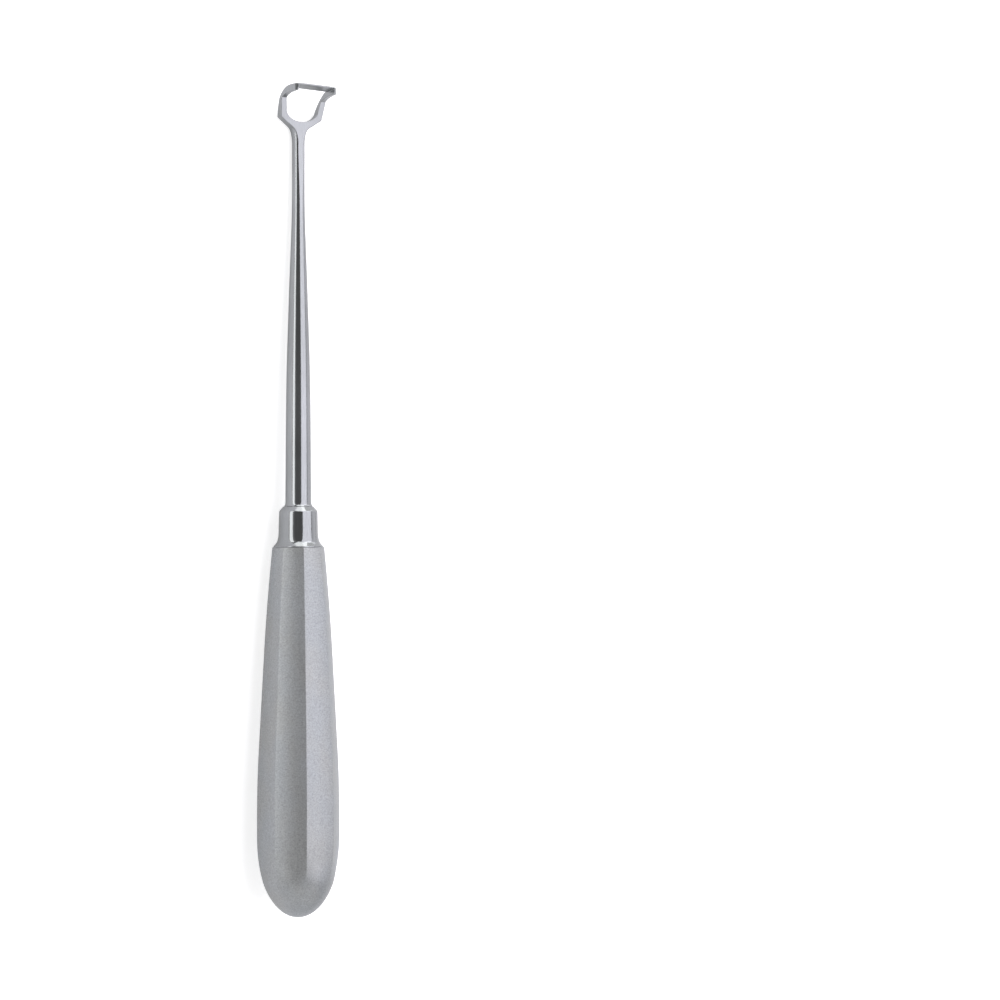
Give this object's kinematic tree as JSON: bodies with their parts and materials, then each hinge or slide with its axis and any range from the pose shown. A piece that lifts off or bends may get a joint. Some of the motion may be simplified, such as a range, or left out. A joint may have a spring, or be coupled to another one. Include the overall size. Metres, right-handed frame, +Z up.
{
  "type": "adenoid curette",
  "caption": "Adenoid curette: hollow eight-sided steel handle, turned ferrule, tapered round shaft and a forged window head whose thin blade bends forward.",
  "frame": {"origin": "centre of the bounding box on the floor, as the instrument lies on one handle facet and the heel of its neck", "axes": "+Y along the tool towards the head, +Z up (the blade reaches up), +X across the symmetric head"},
  "size_m": [0.0204, 0.2186, 0.0215],
  "materials": {
    "handle": "satin blasted stainless steel, soft sheen",
    "ferrule": "polished stainless steel",
    "shaft": "polished stainless steel, fine ground head"
  },
  "bodies": {
    "root": {"handle_shell": "handle", "ferrule": "ferrule", "blade_and_shaft": "shaft"}
  },
  "joints": []
}
